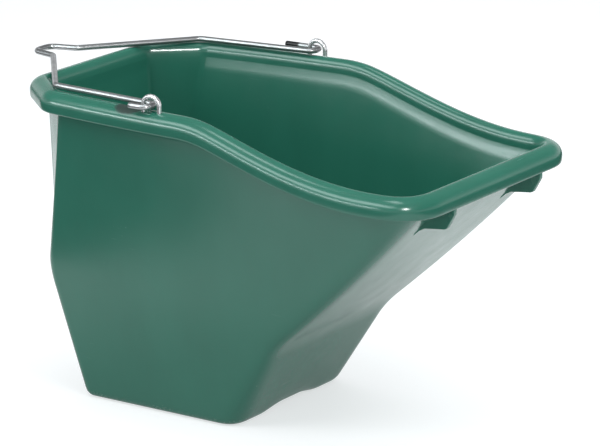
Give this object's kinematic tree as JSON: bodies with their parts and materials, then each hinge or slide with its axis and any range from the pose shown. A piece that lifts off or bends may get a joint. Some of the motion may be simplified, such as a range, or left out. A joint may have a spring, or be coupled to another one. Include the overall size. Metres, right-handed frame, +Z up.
{
  "type": "scoop-front feed bucket",
  "caption": "Flat-backed plastic feed bucket with a scoop front, rolled rim, lip gussets and a swinging wire bail held by staple ears.",
  "frame": {"origin": "middle of the flat underside of the base", "axes": "+X towards the pouring lip, +Y to the bucket's left, +Z up"},
  "size_m": [0.5563, 0.3176, 0.3431],
  "materials": {
    "plastic": "moulded green polyethylene, satin",
    "ear_wire": "bright galvanised wire",
    "bail_wire": "galvanised wire"
  },
  "bodies": {
    "bucket_body": {"bucket": "plastic", "ear_left": "ear_wire", "ear_right": "ear_wire"},
    "bail_body": {"bail": "bail_wire"}
  },
  "joints": [
    {"name": "bail_swing", "type": "hinge", "parent": "bucket_body", "child": "bail_body", "pos_m": [0.031, 0, 0.3312], "axis": [0, 1, 0], "range_deg": [0, 186]}
  ]
}
